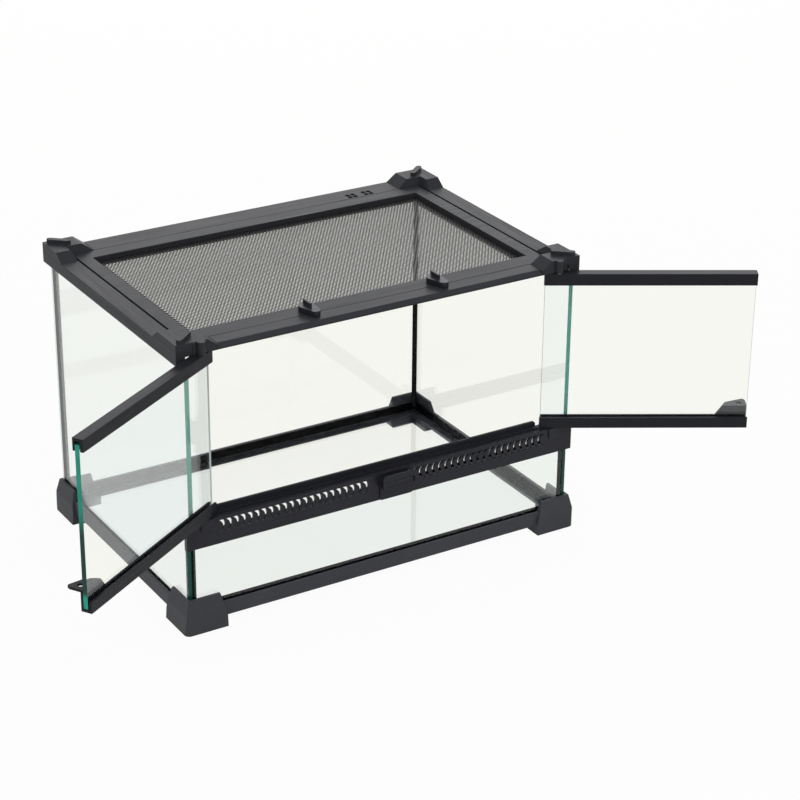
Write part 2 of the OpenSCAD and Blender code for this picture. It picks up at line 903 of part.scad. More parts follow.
module screen_frame() {
    color(black)
    difference() {
        box([-screen_x, screen_y0, mesh_z], [screen_x, screen_y1, z_rail]);
        // opening above the mesh
        box([-open_x, open_y0, mesh_z - 1], [open_x, open_y1, z_rail + 1]);
        // rebate that takes the edge of the mesh
        box(
            [-open_x - mesh_in - mesh_fit, open_y0 - mesh_in - mesh_fit, mesh_z - 1],
            [open_x + mesh_in + mesh_fit, open_y1 + mesh_in + mesh_fit, mesh_z + mesh_t + 2 * mesh_fit]
        );
        // seats of the clip pins
        for (s = [-1, 1])
            translate([s * clip_x, clip_py, mesh_z + 2])
                cylinder(h = screen_h, r = clip_pin_r + seat_fit);
    }
}

// flat ring that holds the mesh up in the frame's rebate
module screen_retainer() {
    color(black)
    difference() {
        box([-screen_x, screen_y0, screen_z], [screen_x, screen_y1, mesh_z]);
        box(
            [-open_x + screen_lip, open_y0 + screen_lip, screen_z - 1],
            [open_x - screen_lip, open_y1 - screen_lip, mesh_z + 1]
        );
    }
}

module screen_mesh() {
    pitch_x = (2 * open_x - mesh_bar) / (mesh_nx + 0.5);
    pitch_y = (open_y1 - open_y0 - mesh_bar) / mesh_ny;
    hole_r = min(pitch_x, pitch_y * 1.12) / 2 - mesh_bar / 2;
    color(mesh_c)
    difference() {
        box(
            [-open_x - mesh_in, open_y0 - mesh_in, mesh_z + mesh_fit],
            [open_x + mesh_in, open_y1 + mesh_in, mesh_z + mesh_fit + mesh_t]
        );
        for (j = [0 : mesh_ny - 1])
            for (i = [0 : mesh_nx - 1])
                translate([
                    -open_x + mesh_bar / 2 + (i + 0.5 + 0.5 * (j % 2)) * pitch_x,
                    open_y0 + mesh_bar / 2 + (j + 0.5) * pitch_y, mesh_z - 1
                ])
                    cylinder(h = mesh_t + 3, r = hole_r, $fn = 24);
    }
}

module clip_pins() {
    color(steel_c)
        for (s = [-1, 1])
            translate([s * clip_x, clip_py, mesh_z + 2])
                cylinder(h = z_rail + clip_gap + clip_t - 2 - mesh_z - 2, r = clip_pin_r);
}

// turn clip with its pivot at the origin and its tip towards -Y
module clip() {
    dx = clip_skew;
    dy = -clip_reach;
    l = sqrt(dx * dx + dy * dy);
    a = atan2(dy, dx);
    b = acos((clip_r - clip_tip_r) / l);
    color(dark)
    difference() {
        union() {
            linear_extrude(clip_t) {
                circle(clip_r);
                translate([dx, dy])
                    circle(clip_tip_r);
                polygon([
                    clip_r * [cos(a + b), sin(a + b)],
                    [dx, dy] + clip_tip_r * [cos(a + b), sin(a + b)],
                    [dx, dy] + clip_tip_r * [cos(a - b), sin(a - b)],
                    clip_r * [cos(a - b), sin(a - b)]
                ]);
            }
            translate([0, -fin_l / 2, clip_t - 1])
                cube([fin_t, fin_l, fin_h + 1]);
        }
        translate([0, 0, -1])
            cylinder(h = clip_t - 2 + 0.2 + 1, r = clip_pin_r + pin_fit);
    }
}

module clip_left() {
    translate([-clip_x, clip_py, z_rail + clip_gap])
        clip();
}

module clip_right() {
    translate([clip_x, clip_py, z_rail + clip_gap])
        clip();
}

// ---- doors ----

// moves a shut left door's piece from its pivot at the origin to its place, open by a
module hang(a) {
    translate([-pivot_x, pivot_y, 0])
        rotate([0, 0, -a])
            children();
}

// plan of a door rail, with the tail rounded about the pivot
module door_plan() {
    translate([0, -door_out])
        square([door_l, door_out + door_in]);
    intersection() {
        circle(door_tail);
        translate([-door_tail, -door_out])
            square([door_tail + 1, door_out + door_in]);
    }
}

module door_glass() {
    color(glass_c)
        box([-glass_tail, glass_v0, door_glass_z0], [door_l - 0.5, glass_v1, door_glass_z1]);
}

module door_rail_upper() {
    z0 = door_z1 - door_rail_h;
    color(black)
    difference() {
        translate([0, 0, z0])
            linear_extrude(door_rail_h)
                door_plan();
        box(
            [-far, -door_out + door_wall, z0 - 1],
            [far, door_in - door_upper_wall, door_z1 - door_web]
        );
        translate([0, 0, door_z1 - door_web - 1])
            cylinder(h = door_web + 2, r = pin_r + seat_fit);
    }
}

module door_rail_lower() {
    rail_z1 = door_z0 + door_low_h;
    tab_z1 = door_z0 + tab_rise;
    tab_u = door_l - tab_l;
    tab_v = -door_out - tab_d;
    color(black)
    difference() {
        union() {
            translate([0, 0, door_z0])
                linear_extrude(door_low_h)
                    door_plan();
            // upright web that carries the pull tab
            along_y(-door_out, -door_out + door_wall)
                polygon([
                    [tab_u - tab_slope, rail_z1 - 1], [tab_u - tab_slope, rail_z1],
                    [tab_u, tab_z1], [door_l, tab_z1], [door_l, rail_z1 - 1]
                ]);
            // pull tab
            translate([0, 0, tab_z1 - tab_t])
                linear_extrude(tab_t)
                    difference() {
                        polygon([
                            [tab_u, -door_out + 0.5], [tab_u, -door_out],
                            [tab_u + 3.7, -door_out - 7], [door_l - 3.5, tab_v],
                            [door_l - 1.5, tab_v + 0.5], [door_l, tab_v + 4],
                            [door_l, -door_out + 0.5]
                        ]);
                        translate([door_l - tab_hole_set, -door_out - tab_hole_r - 1.7])
                            circle(tab_hole_r);
                    }
        }
        // channel for the glass
        box(
            [-far, -door_out + door_wall, door_z0 + door_web],
            [far, door_in - door_inner_wall, rail_z1 + 1]
        );
        translate([0, 0, door_z0 - 1])
            cylinder(h = door_web + 2, r = pin_r + seat_fit);
    }
}

module hinge_pins() {
    color(steel_c) {
        translate([0, 0, door_z1 - door_web])
            cylinder(h = door_web + door_lift + pin_in - 1.5, r = pin_r);
        translate([0, 0, door_z1])
            cylinder(h = collar_t, r = collar_r);
        translate([0, 0, bar_top - pin_in + 0.6])
            cylinder(h = pin_in - 0.6 + door_lift + door_web, r = pin_r);
    }
}

module door_glass_left() {
    hang(left_open)
        door_glass();
}

module door_rail_upper_left() {
    hang(left_open)
        door_rail_upper();
}

module door_rail_lower_left() {
    hang(left_open)
        door_rail_lower();
}

module hinge_pins_left() {
    hang(left_open)
        hinge_pins();
}

module door_glass_right() {
    mirror([1, 0, 0])
        hang(right_open)
            door_glass();
}

module door_rail_upper_right() {
    mirror([1, 0, 0])
        hang(right_open)
            door_rail_upper();
}

module door_rail_lower_right() {
    mirror([1, 0, 0])
        hang(right_open)
            door_rail_lower();
}

module hinge_pins_right() {
    mirror([1, 0, 0])
        hang(right_open)
            hinge_pins();
}

// ---- latch ----

module latch_slide() {
    dish_r = 6;
    dish_d = 1.8;
    dish_l = latch_w - 6;
    grip_mid = (grip_z0 + body_z1) / 2;
    color(dark)
    difference() {
        union() {
            // plate on the face of the bar
            along_y(latch_y - plate_t, latch_y)
                translate([latch_x, (bar_z + grip_mid) / 2])
                    round_rect(latch_w - 2, grip_mid - bar_z, 2);
            // body of the grip
            along_y(grip_y, latch_y)
                translate([latch_x, grip_mid])
                    round_rect(latch_w, body_z1 - grip_z0, 3.5);
            // catch that stands in front of the doors
            along_y(grip_y, grip_y + catch_t)
                translate([latch_x, (grip_z0 + grip_z1) / 2])
                    round_rect(latch_w, grip_h, 3.5);
            // guide stems
            for (s = [-1, 1])
                translate([latch_x + s * stem_pitch / 2, 0, 0])
                    box([-stem_w / 2, latch_y - 1, stem_z0], [stem_w / 2, front + latch_gap, stem_z0 + stem_h]);
        }
        // finger dish along the grip
        translate([latch_x - dish_l / 2, grip_y - dish_r + dish_d, grip_mid])
            rotate([0, 90, 0])
                cylinder(h = dish_l, r = dish_r);
    }
}

module latch_keeper() {
    color(dark)
        translate([latch_x, 0, 0])
            box(
                [-stem_pitch / 2 - stem_w, front + latch_gap, stem_z0 - 1],
                [stem_pitch / 2 + stem_w, front + latch_gap + keeper_t, stem_z0 + stem_h + 1]
            );
}

foot_front_left();
foot_front_right();
foot_back_left();
foot_back_right();
rail_bottom_front();
rail_bottom_back();
rail_bottom_left();
rail_bottom_right();
glass_floor();
glass_left();
glass_right();
glass_back();
glass_front_low();
silicone_beads();
vent_bar();
frame_top_left();
frame_top_right();
frame_top_front();
frame_top_back();
screen_frame();
screen_retainer();
screen_mesh();
clip_pins();
clip_left();
clip_right();
door_glass_left();
door_rail_upper_left();
door_rail_lower_left();
hinge_pins_left();
door_glass_right();
door_rail_upper_right();
door_rail_lower_right();
hinge_pins_right();
latch_slide();
latch_keeper();
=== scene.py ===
"""Looks of a glass terrarium cabinet: moulded frame, glass panels, screen top, doors and latch."""

import json
import math

import bmesh
import bpy
from bpy.props import FloatProperty, FloatVectorProperty, PointerProperty
from mathutils import Matrix, Vector


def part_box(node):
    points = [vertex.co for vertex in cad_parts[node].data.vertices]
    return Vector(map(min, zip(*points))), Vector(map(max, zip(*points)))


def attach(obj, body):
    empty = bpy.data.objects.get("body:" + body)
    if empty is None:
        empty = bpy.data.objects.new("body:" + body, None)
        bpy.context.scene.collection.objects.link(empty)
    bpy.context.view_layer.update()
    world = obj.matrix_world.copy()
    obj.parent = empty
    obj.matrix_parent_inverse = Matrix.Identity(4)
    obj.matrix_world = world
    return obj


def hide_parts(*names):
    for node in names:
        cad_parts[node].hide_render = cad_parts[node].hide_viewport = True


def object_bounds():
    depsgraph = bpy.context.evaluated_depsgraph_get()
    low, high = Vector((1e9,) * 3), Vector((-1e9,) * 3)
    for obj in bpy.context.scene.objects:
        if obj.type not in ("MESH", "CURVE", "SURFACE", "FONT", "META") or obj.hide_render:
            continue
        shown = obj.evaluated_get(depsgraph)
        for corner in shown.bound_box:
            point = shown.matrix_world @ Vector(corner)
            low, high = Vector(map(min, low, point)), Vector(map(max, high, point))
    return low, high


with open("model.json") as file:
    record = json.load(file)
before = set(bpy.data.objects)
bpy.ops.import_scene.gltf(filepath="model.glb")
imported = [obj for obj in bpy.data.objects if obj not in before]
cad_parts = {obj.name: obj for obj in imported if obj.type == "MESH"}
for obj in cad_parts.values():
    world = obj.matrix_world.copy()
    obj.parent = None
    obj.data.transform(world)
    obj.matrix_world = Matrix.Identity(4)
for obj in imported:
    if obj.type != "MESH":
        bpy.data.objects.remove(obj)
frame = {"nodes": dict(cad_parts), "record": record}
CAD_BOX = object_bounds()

bl_info = {
    "name": "Terrarium Cabinet",
    "version": (1, 0, 0),
    "blender": (4, 5, 0),
    "location": "View3D > Sidebar > Terrarium",
    "description": "Dresses the terrarium cabinet's frame with mouldings, glass, mesh and a stage",
    "category": "Object",
}

MM = 0.001

# the body that each CAD node belongs to
BODY_OF = {
    node: body
    for body, nodes in frame["record"]["behaviour"]["bodies"].items()
    for node in nodes
}

# faces that turn less than this from each other lie in one plane
FLAT = math.radians(0.4)
# edges that turn less than this are shaded smoothly
SMOOTH = math.radians(8)
# edges that turn more than this are rounded
SHARP = math.radians(28)
# points that lie nearer to each other than this are one point
SAME_POINT = 0.002 * MM
# points that lie nearer to a cut than this lie on it
ON_CUT = 0.001 * MM

# edge radius of some pieces, as a share of the setting
FOOT_ROUND = 1.6
CLIP_ROUND = 1.2
THIN_ROUND = 0.5
# faces along a rounded edge, on most pieces and on those with a large radius
EDGE_FACES = 2
LARGE_EDGE_FACES = 3
# edges of the vent bar below this length stay sharp, so that its slots keep their corners
VENT_SHORTEST = 2.0 * MM
# how far the sealant reaches into what it wets
BEAD_REACH = 0.04 * MM

# angles at which the doors stand open, in degrees from shut
DOOR_OPEN = {"left": 148.0, "right": 150.0}

# painted light and shade on the glass's cut edges: how bright their colour is painted, by height
# in mm
TANK_EDGE_PAINTED_LIGHT = ((0, 0.22), (85, 0.22), (130, 1.0))
DOOR_EDGE_PAINTED_LIGHT = ((0, 1.2), (138, 1.2), (146, 0.16), (200, 0.16), (236, 1.0))
# a face of a panel looks more than this way, as a cosine, and a cut edge less
FACE_COSINE = 0.7
# the glass tint is given for four panels, which have this many faces
TINT_FACES = 8

# the plastics: roughness, shine, grain in mm and depth of the grain in mm
BASE_FINISH = (0.4, 0.055, 0.8, 0.05)
TOP_FINISH = (0.38, 0.07, 0.8, 0.05)
DOOR_FINISH = (0.38, 0.1, 0.8, 0.05)
FITTINGS_FINISH = (0.3, 0.16, 0.6, 0.03)

# the stage: half the floor's side in metres, and the sky's strength as light and as seen
FLOOR_HALF = 9.0
SKY_LIGHT = 0.78
SKY_SEEN = 0.98
# how much of the paper shows as plain white, seen directly and through glass
WHITE_DIRECT = 0.95
WHITE_THROUGH = 0.85
# area lamps: width and depth in metres, power in watts, place, and the point that they face
SOFTBOX = (1.6, 1.2, 8.0, (-0.1, -1.1, 1.8), (0, 0, 0.15))
BACK_PANEL = (3.0, 1.4, 23.0, (1.3, 2.2, 1.25), (0, 0, 0.3))
# the camera at the photograph's viewing angle: place in metres, yaw, pitch and roll in
# degrees, sensor and lens in mm
CAMERA_PLACE = (-1.11646, -2.00199, 1.21587)
CAMERA_ANGLES = (31.55, -25.11, 0.57)
CAMERA_SENSOR = 36.0
CAMERA_LENS = 105.25
# faces that a ray may pass straight through, of glass behind glass
CLEAR_FACES = 32


def linear(code):
    """An sRGB hex colour as linear red, green and blue."""
    digits = code.lstrip("#")
    shares = (int(digits[i:i + 2], 16) / 255.0 for i in (0, 2, 4))
    return tuple(s / 12.92 if s <= 0.04045 else ((s + 0.055) / 1.055) ** 2.4 for s in shares)


def rgba(colour, times=1.0, plus=0.0):
    """A colour with full opacity, made lighter or darker."""
    return tuple(min(1.0, c * times + plus) for c in colour) + (1.0,)


def per_metre(mm):
    """How often a pattern of that size in mm comes in a metre, which is a texture's scale."""
    return 1000.0 / mm


# ---- settings ----

class TerrariumSizes(bpy.types.PropertyGroup):
    """Sizes of the details that are made here."""

    edge_round: FloatProperty(
        name="Edge rounding", description="Radius along the edges of the mouldings",
        default=0.5 * MM, min=0.05 * MM, max=2 * MM, precision=5, unit="LENGTH")
    mesh_pitch: FloatProperty(
        name="Mesh pitch", description="Distance between two holes of the mesh",
        default=3.98 * MM, min=2 * MM, max=10 * MM, precision=5, unit="LENGTH")
    mesh_row: FloatProperty(
        name="Mesh row step", description="Distance between two rows of holes",
        default=2.86 * MM, min=1.5 * MM, max=10 * MM, precision=5, unit="LENGTH")
    mesh_hole: FloatProperty(
        name="Mesh hole", description="Width of one hole of the mesh",
        default=2.6 * MM, min=1 * MM, max=9 * MM, precision=5, unit="LENGTH")


class TerrariumColours(bpy.types.PropertyGroup):
    """Colours of the finishes."""

    base: FloatVectorProperty(
        name="Base plastic", description="Colour of the feet and the rails under the glass",
        subtype="COLOR", size=3, min=0, max=1, default=linear("#3e3f43"))
    top: FloatVectorProperty(
        name="Top plastic", description="Colour of the top frame and the screen's frame",
        subtype="COLOR", size=3, min=0, max=1, default=linear("#2c2d30"))
    doors: FloatVectorProperty(
        name="Door plastic", description="Colour of the doors' rails",
        subtype="COLOR", size=3, min=0, max=1, default=linear("#1d1e21"))
    fittings: FloatVectorProperty(
        name="Fittings plastic", description="Colour of the vent bar, latch and clips",
        subtype="COLOR", size=3, min=0, max=1, default=linear("#212226"))
    mesh: FloatVectorProperty(
        name="Mesh coat", description="Colour of the coated mesh",
        subtype="COLOR", size=3, min=0, max=1, default=linear("#1e1c1b"))
    glass: FloatVectorProperty(
        name="Glass tint", description="Colour that white takes on behind four glass panels",
        subtype="COLOR", size=3, min=0, max=1, default=linear("#e5f1f4"))
    glass_edge: FloatVectorProperty(
        name="Glass edge", description="Colour inside the cut edges of the glass",
        subtype="COLOR", size=3, min=0, max=1, default=linear("#1f8f7c"))
    glass_edge_inner: FloatVectorProperty(
        name="Glass edge from inside", description="Colour of a cut edge seen through the panel",
        subtype="COLOR", size=3, min=0, max=1, default=linear("#d3dedb"))
    silicone: FloatVectorProperty(
        name="Silicone", description="Colour of the sealant",
        subtype="COLOR", size=3, min=0, max=1, default=linear("#060607"))
    floor: FloatVectorProperty(
        name="Floor", description="Colour of the studio floor",
        subtype="COLOR", size=3, min=0, max=1, default=linear("#dcdcd6"))


# ---- nodes ----

def add_node(tree, kind, values=None, links=None, **settings):
    """Adds a node, sets its properties and input values, and links its inputs."""
    node = tree.nodes.new(kind)
    for key, value in settings.items():
        setattr(node, key, value)
    for socket, value in (values or {}).items():
        node.inputs[socket].default_value = value
    for socket, source in (links or {}).items():
        tree.links.new(source, node.inputs[socket])
    return node


def new_material(name):
    """A material with an empty node tree, and that tree."""
    material = bpy.data.materials.new(name)
    material.use_nodes = True
    material.node_tree.nodes.clear()
    return material, material.node_tree


def finish_material(tree, shader):
    """Links a shader to the material's output."""
    add_node(tree, "ShaderNodeOutputMaterial", links={"Surface": shader})


# ---- materials ----

def moulded_plastic(name, colour, roughness, shine, grain_mm, grain_depth_mm, length_turn=0.0):
    """Injection-moulded ABS from a spark-eroded tool: a dull satin black with a fine even grain.

    Light catches the top faces as a soft grey, because the grain spreads the reflection, and
    faint lines from the polishing of the tool run along the piece, which lies length_turn
    degrees from X.
    """
    material, tree = new_material(name)
    place = add_node(tree, "ShaderNodeTexCoord").outputs["Object"]
    # grain of the tool's surface, really about 0.1 mm and drawn as coarse as it needs to show
    grain = add_node(
        tree, "ShaderNodeTexNoise",
        {"Scale": per_metre(grain_mm), "Detail": 2.0, "Roughness": 0.6}, {"Vector": place})
    # slow change over some 60 mm of the moulding, where handling has polished it
    cloud = add_node(
        tree, "ShaderNodeTexNoise",
        {"Scale": per_metre(60.0), "Detail": 3.0, "Roughness": 0.55}, {"Vector": place})
    tone = add_node(
        tree, "ShaderNodeMix", {"A": rgba(colour), "B": rgba(colour, times=1.35, plus=0.002)},
        {"Factor": cloud.outputs["Fac"]}, data_type="RGBA")
    # the lines are 90 mm long and 1.3 mm apart, drawn as coarse as they need to show
    lengthways = add_node(
        tree, "ShaderNodeMapping",
        {"Rotation": (0, 0, math.radians(length_turn)), "Scale": (90 * MM, 1.3 * MM, 1.3 * MM)},
        {"Vector": place}, vector_type="TEXTURE")
    lines = add_node(
        tree, "ShaderNodeTexNoise", {"Scale": 1.0, "Detail": 1.0},
        {"Vector": lengthways.outputs["Vector"]})
    gloss = add_node(
        tree, "ShaderNodeMapRange",
        {"From Min": 0.3, "From Max": 0.7, "To Min": roughness - 0.07, "To Max": roughness + 0.08},
        {"Value": lines.outputs["Fac"]})
    # the lines stand a little higher than the grain
    relief = add_node(
        tree, "ShaderNodeMath", {1: 1.2}, {0: lines.outputs["Fac"], 2: grain.outputs["Fac"]},
        operation="MULTIPLY_ADD")
    bump = add_node(
        tree, "ShaderNodeBump", {"Strength": 0.35, "Distance": grain_depth_mm * MM},
        {"Height": relief.outputs["Value"]})
    plastic = add_node(
        tree, "ShaderNodeBsdfPrincipled",
        {"IOR": 1.53, "Specular IOR Level": shine, "Specular Tint": rgba(linear("#f1eeff"))},
        {"Base Color": tone.outputs["Result"], "Roughness": gloss.outputs["Result"],
         "Normal": bump.outputs["Normal"]})
    finish_material(tree, plastic.outputs["BSDF"])
    return material


def float_glass(name, tint, edge, inner_edge, across, painted_edge_light):
    """Float glass with ground edges: clear through its faces, teal where a cut edge is seen.

    Seen through the panel, the inside of a cut edge glows pale. tint is the light that one face
    lets through, across is the direction through the panel's thickness, and painted_edge_light
    gives the painted light and shade in the colour of its edges, at heights in mm.
    """
    material, tree = new_material(name)
    coords = add_node(tree, "ShaderNodeTexCoord")
    facing = add_node(
        tree, "ShaderNodeVectorMath", {1: across}, {0: coords.outputs["Normal"]},
        operation="DOT_PRODUCT")
    either_way = add_node(
        tree, "ShaderNodeMath", links={0: facing.outputs["Value"]}, operation="ABSOLUTE")
    is_face = add_node(
        tree, "ShaderNodeMath", {1: FACE_COSINE}, {0: either_way.outputs["Value"]},
        operation="GREATER_THAN")
    # faces: the panel bends and mirrors what is seen, and lets the lamps' light straight through
    path = add_node(tree, "ShaderNodeLightPath")
    lighting = add_node(
        tree, "ShaderNodeMath",
        links={0: path.outputs["Is Shadow Ray"], 1: path.outputs["Is Diffuse Ray"]},
        operation="MAXIMUM")
    clear = add_node(tree, "ShaderNodeBsdfTransparent", {"Color": rgba(tint)})
    solid = add_node(
        tree, "ShaderNodeBsdfGlass", {"Color": rgba(tint), "Roughness": 0.0, "IOR": 1.5})
    face = add_node(
        tree, "ShaderNodeMixShader",
        links={0: lighting.outputs["Value"], 1: solid.outputs["BSDF"], 2: clear.outputs["BSDF"]})
    # edges: ground matt, with uneven strokes of the stone about 9 mm long, and with painted light
    # and shade in their colour: painted bright as if lit from inside the panel, and painted dark
    # where a rail or bar behind them keeps the light away
    grind = add_node(
        tree, "ShaderNodeTexNoise", {"Scale": per_metre(9.0), "Detail": 2.0},
        {"Vector": coords.outputs["Object"]})
    tone = add_node(
        tree, "ShaderNodeMix", {"A": rgba(edge, times=0.8), "B": rgba(edge, times=1.25)},
        {"Factor": grind.outputs["Fac"]}, data_type="RGBA")
    height = add_node(
        tree, "ShaderNodeSeparateXYZ", links={"Vector": coords.outputs["Object"]})
    place = add_node(
        tree, "ShaderNodeMapRange", {"From Max": CAD_BOX[1][2], "To Max": 1.0},
        {"Value": height.outputs["Z"]})
    # painted light and shade: a ramp by height that scales the edges' colour
    light = add_node(tree, "ShaderNodeValToRGB", links={"Fac": place.outputs["Result"]})
    ramp = light.color_ramp
    ramp.interpolation = "EASE"
    while len(ramp.elements) < len(painted_edge_light):
        ramp.elements.new(0.5)
    for stop, (mm, level) in zip(ramp.elements, painted_edge_light):
        stop.position = mm * MM / CAD_BOX[1][2]
        stop.color = (level, level, level, 1)
    # the edges' colour with the painted light and shade
    edge_with_painted_light = add_node(
        tree, "ShaderNodeVectorMath",
        links={0: tone.outputs["Result"], 1: light.outputs["Color"]}, operation="MULTIPLY")
    outside = add_node(
        tree, "ShaderNodeBsdfPrincipled",
        {"IOR": 1.5, "Roughness": 0.3, "Specular IOR Level": 0.25},
        {"Base Color": edge_with_painted_light.outputs["Vector"]})
    inside = add_node(tree, "ShaderNodeBsdfTranslucent", {"Color": rgba(inner_edge)})
    side = add_node(tree, "ShaderNodeNewGeometry")
    rim = add_node(
        tree, "ShaderNodeMixShader", links={
            0: side.outputs["Backfacing"], 1: outside.outputs["BSDF"], 2: inside.outputs["BSDF"]})
    whole = add_node(
        tree, "ShaderNodeMixShader",
        links={0: is_face.outputs["Value"], 1: rim.outputs["Shader"], 2: face.outputs["Shader"]})
    finish_material(tree, whole.outputs["Shader"])
    return material


def cured_silicone(name, colour):
    """Tooled silicone sealant: a smooth black bead, softly shiny, with slight waves along it."""
    material, tree = new_material(name)
    place = add_node(tree, "ShaderNodeTexCoord").outputs["Object"]
    waves = add_node(
        tree, "ShaderNodeTexNoise", {"Scale": per_metre(12.0), "Detail": 1.0}, {"Vector": place})
    bump = add_node(
        tree, "ShaderNodeBump", {"Strength": 0.12, "Distance": 0.2 * MM},
        {"Height": waves.outputs["Fac"]})
    gloss = add_node(
        tree, "ShaderNodeMapRange", {"To Min": 0.22, "To Max": 0.34},
        {"Value": waves.outputs["Fac"]})
    rubber = add_node(
        tree, "ShaderNodeBsdfPrincipled",
        {"Base Color": rgba(colour), "IOR": 1.41, "Specular IOR Level": 0.15},
        {"Roughness": gloss.outputs["Result"], "Normal": bump.outputs["Normal"]})
    finish_material(tree, rubber.outputs["BSDF"])
    return material


def coated_mesh(name, colour):
    """Punched steel sheet with a black powder coat: dull, and lighter where the coat runs thin."""
    material, tree = new_material(name)
    place = add_node(tree, "ShaderNodeTexCoord").outputs["Object"]
    orange_peel = add_node(
        tree, "ShaderNodeTexNoise", {"Scale": per_metre(1.5), "Detail": 2.0}, {"Vector": place})
    tone = add_node(
        tree, "ShaderNodeMix", {"A": rgba(colour), "B": rgba(colour, times=1.5)},
        {"Factor": orange_peel.outputs["Fac"]}, data_type="RGBA")
    bump = add_node(
        tree, "ShaderNodeBump", {"Strength": 0.3, "Distance": 0.05 * MM},
        {"Height": orange_peel.outputs["Fac"]})
    coat = add_node(
        tree, "ShaderNodeBsdfPrincipled", {"Roughness": 0.5, "IOR": 1.5},
        {"Base Color": tone.outputs["Result"], "Normal": bump.outputs["Normal"]})
    finish_material(tree, coat.outputs["BSDF"])
    return material


def drawn_steel(name):
    """Drawn steel wire: bright grey with fine lines along the pin."""
    material, tree = new_material(name)
    place = add_node(tree, "ShaderNodeTexCoord").outputs["Object"]
    # the lines of the die are 8.3 mm long and 0.25 mm apart, drawn as coarse as they need to show
    stretch = add_node(
        tree, "ShaderNodeMapping",
        {"Scale": (per_metre(0.25), per_metre(0.25), per_metre(8.3))}, {"Vector": place})
    lines = add_node(
        tree, "ShaderNodeTexNoise", {"Scale": 1.0, "Detail": 2.0},
        {"Vector": stretch.outputs["Vector"]})
    gloss = add_node(
        tree, "ShaderNodeMapRange", {"To Min": 0.22, "To Max": 0.4},
        {"Value": lines.outputs["Fac"]})
    steel = add_node(
        tree, "ShaderNodeBsdfPrincipled",
        {"Base Color": rgba(linear("#c9cacc")), "Metallic": 1.0},
        {"Roughness": gloss.outputs["Result"]})
    finish_material(tree, steel.outputs["BSDF"])
    return material


def studio_paper(name, colour):
    """Matt seamless paper that shows white to the camera and keeps a soft shadow of the object."""
    material, tree = new_material(name)
    path = add_node(tree, "ShaderNodeLightPath")
    seen = add_node(
        tree, "ShaderNodeMath",
        links={0: path.outputs["Is Camera Ray"], 1: path.outputs["Is Glossy Ray"]},
        operation="MAXIMUM")
    direct = add_node(
        tree, "ShaderNodeMath", {1: WHITE_DIRECT}, {0: seen.outputs["Value"]},
        operation="MULTIPLY")
    # through glass the paper shows a shade warmer than beside it
    through = add_node(
        tree, "ShaderNodeMath", {1: WHITE_THROUGH}, {0: path.outputs["Is Transmission Ray"]},
        operation="MULTIPLY")
    tone = add_node(
        tree, "ShaderNodeMix", {"A": rgba(linear("#ffffff")), "B": rgba(linear("#fffcf5"))},
        {"Factor": path.outputs["Is Transmission Ray"]}, data_type="RGBA")
    share = add_node(
        tree, "ShaderNodeMath",
        links={0: direct.outputs["Value"], 1: through.outputs["Value"]}, operation="MAXIMUM")
    # tufts of the pulp's fibres, drawn as coarse as they need to show
    fibre = add_node(
        tree, "ShaderNodeTexNoise", {"Scale": per_metre(4.0)},
        {"Vector": add_node(tree, "ShaderNodeTexCoord").outputs["Object"]})
    bump = add_node(
        tree, "ShaderNodeBump", {"Strength": 0.05, "Distance": 0.1 * MM},
        {"Height": fibre.outputs["Fac"]})
    paper = add_node(
        tree, "ShaderNodeBsdfDiffuse", {"Color": rgba(colour)}, {"Normal": bump.outputs["Normal"]})
    white = add_node(
        tree, "ShaderNodeEmission", {"Strength": 1.0}, {"Color": tone.outputs["Result"]})
    both = add_node(
        tree, "ShaderNodeMixShader",
        links={0: share.outputs["Value"], 1: paper.outputs["BSDF"], 2: white.outputs["Emission"]})
    finish_material(tree, both.outputs["Shader"])
    return material


_made = {}


def finish(name, maker, *values):
    """The material of that name, made once."""
    if name not in _made:
        _made[name] = maker(name, *values)
    return _made[name]


def base_plastic(turn=0):
    """Grained ABS of the feet and the rails under the glass."""
    colour = tuple(bpy.context.scene.terrarium_colours.base)
    return finish(f"abs_moulded_grained_{turn}", moulded_plastic, colour, *BASE_FINISH, turn)


def top_plastic(turn=0):
    """Grained ABS of the top frame and the screen's frame, a little darker and shinier."""
    colour = tuple(bpy.context.scene.terrarium_colours.top)
    return finish(f"abs_moulded_top_{turn}", moulded_plastic, colour, *TOP_FINISH, turn)


def door_plastic(side, turn):
    """Grained ABS of a door's rails, a deeper black than the frame."""
    colour = tuple(bpy.context.scene.terrarium_colours.doors)
    return finish(f"abs_moulded_deep_black_{side}", moulded_plastic, colour, *DOOR_FINISH, turn)


def fittings_plastic():
    """Smoother ABS of the vent bar, latch and clips."""
    colour = tuple(bpy.context.scene.terrarium_colours.fittings)
    return finish("abs_moulded_satin", moulded_plastic, colour, *FITTINGS_FINISH)


# ---- shapes ----

def flat_region(first):
    """The faces that lie flat with a face and join it."""
    region = {first}
    waiting = [first]
    while waiting:
        for edge in waiting.pop().edges:
            if len(edge.link_faces) == 2 and edge.calc_face_angle(0) < FLAT:
                fresh = [face for face in edge.link_faces if face not in region]
                region.update(fresh)
                waiting.extend(fresh)
    return region


def rims(region):
    """The closed rims of a flat region, each as the span of its points along X."""
    around = {}
    for face in region:
        for edge in face.edges:
            if sum(other in region for other in edge.link_faces) == 1:
                for vert in edge.verts:
                    around.setdefault(vert, []).append(edge)
    spans = []
    while around:
        waiting = [next(iter(around))]
        places = []
        while waiting:
            vert = waiting.pop()
            if vert in around:
                places.append(vert.co.x)
                waiting.extend(edge.other_vert(vert) for edge in around.pop(vert))
        spans.append((min(places), max(places)))
    return spans


def hole_places(shape):
    """The middles, along X, of the holes in the flat faces of a shape."""
    places = set()
    seen = set()
    for face in shape.faces:
        if face not in seen:
            region = flat_region(face)
            seen |= region
            spans = sorted(rims(region), key=lambda span: span[0] - span[1])
            places.update(round((low + high) / 2, 6) for low, high in spans[1:])
    return sorted(places)


